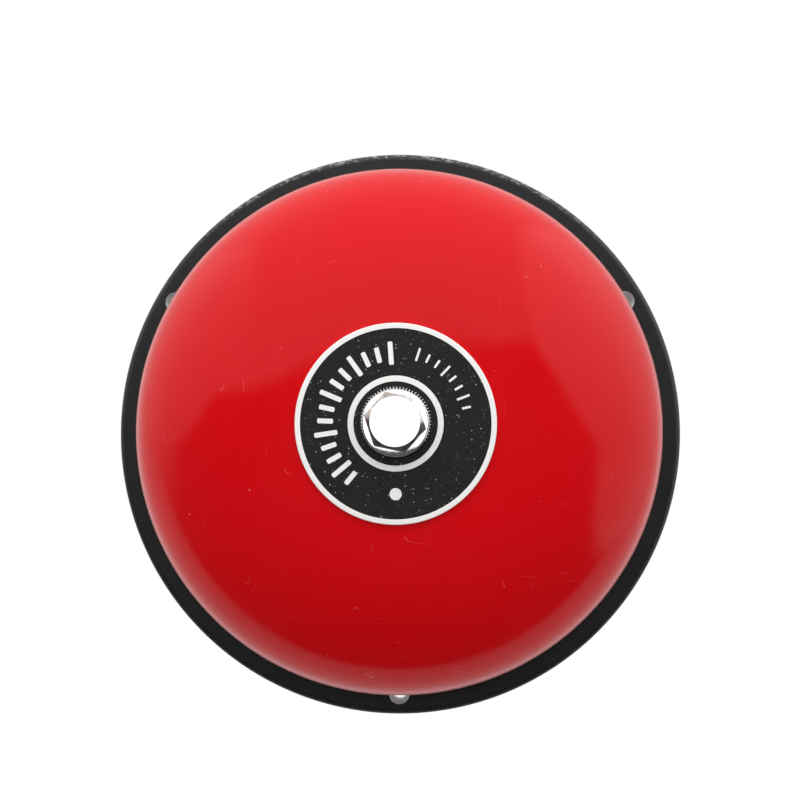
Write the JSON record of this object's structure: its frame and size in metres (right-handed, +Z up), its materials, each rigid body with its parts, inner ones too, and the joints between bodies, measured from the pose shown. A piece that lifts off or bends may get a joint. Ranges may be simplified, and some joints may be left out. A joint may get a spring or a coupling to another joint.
{
  "type": "fire alarm bell",
  "caption": "Round wall-mounted alarm bell: domed red gong on a central bolt over a black moulded base, rung from inside by a motor-driven swinging hammer.",
  "frame": {"origin": "middle of the base's rear face, on the wall plane, in line with the gong's bolt", "axes": "-Y out of the wall towards the viewer, +Z up the wall, +X to the viewer's right; the wall is the plane y = 0"},
  "size_m": [0.164, 0.066, 0.164],
  "materials": {
    "black_moulding": "black moulded plastic with a fine satin grain",
    "red_gloss": "smooth gloss red paint on pressed steel",
    "label_black": "printed black plastic disc with white rings",
    "chrome": "bright chrome plating",
    "zinc_plate": "bright zinc plating on steel",
    "bright_steel": "ground bare steel",
    "zinc_casting": "tumbled die-cast zinc alloy",
    "brass": "bare brass",
    "bronze": "oiled sintered bronze",
    "copper": "bare and enamelled copper",
    "white_nylon": "natural white nylon",
    "grey_nylon": "grey glass-filled nylon",
    "black_rubber": "dull black rubber",
    "ferrite": "dark grey ferrite and black epoxy",
    "carbon": "pressed graphite",
    "board_green": "green solder mask on glass laminate",
    "terminal_green": "moulded green plastic",
    "capacitor_sleeve": "dark blue shrink sleeve over an aluminium can",
    "varistor_blue": "blue dipped epoxy",
    "lead_red": "red PVC insulation",
    "lead_black": "black PVC insulation"
  },
  "bodies": {
    "housing": {"base": "black_moulding", "cable_grommet": "black_rubber", "gong": "red_gloss", "label_disc": "label_black", "lock_washer": "zinc_plate", "plain_washer": "chrome", "gong_bolt": "chrome", "gong_seat_washer": "white_nylon", "gong_post": "zinc_plate", "post_screw_1": "zinc_plate", "post_screw_2": "zinc_plate", "post_screw_3": "zinc_plate", "motor_can": "zinc_plate", "motor_end_cap": "white_nylon", "motor_front_bush": "bronze", "motor_magnet_left": "ferrite", "motor_magnet_right": "ferrite", "motor_brush_upper": "carbon", "motor_brush_lower": "carbon", "motor_terminal_upper": "brass", "motor_terminal_lower": "brass", "motor_cushion": "black_rubber", "motor_cap": "grey_nylon", "motor_cap_screw_upper": "zinc_plate", "motor_cap_screw_lower": "zinc_plate", "circuit_board": "board_green", "board_screw_upper": "zinc_plate", "board_screw_lower": "zinc_plate", "terminal_block": "terminal_green", "terminal_screw_left": "zinc_plate", "terminal_screw_right": "zinc_plate", "suppression_capacitor": "capacitor_sleeve", "blocking_diode": "ferrite", "choke": "ferrite", "varistor": "varistor_blue", "lead_red": "lead_red", "lead_black": "lead_black", "lead_clip": "white_nylon"},
    "rotor": {"motor_shaft": "bright_steel", "commutator": "copper", "lamination_stack": "bright_steel", "winding_1": "copper", "winding_2": "copper", "winding_3": "copper", "rotor_arm": "zinc_casting", "counterweight": "zinc_plate", "counterweight_rivet": "brass", "hammer_pin": "bright_steel", "pin_clip": "bright_steel"},
    "hammer": {"hammer": "bright_steel"}
  },
  "joints": [
    {"name": "rotor_spin", "type": "hinge", "parent": "housing", "child": "rotor", "pos_m": [0.044, -0.0266, 0], "axis": [0, -1, 0], "continuous": true},
    {"name": "hammer_swing", "type": "hinge", "parent": "rotor", "child": "hammer", "pos_m": [0.044, -0.0266, -0.014], "axis": [0, -1, 0], "range_deg": [-75, 75]}
  ]
}
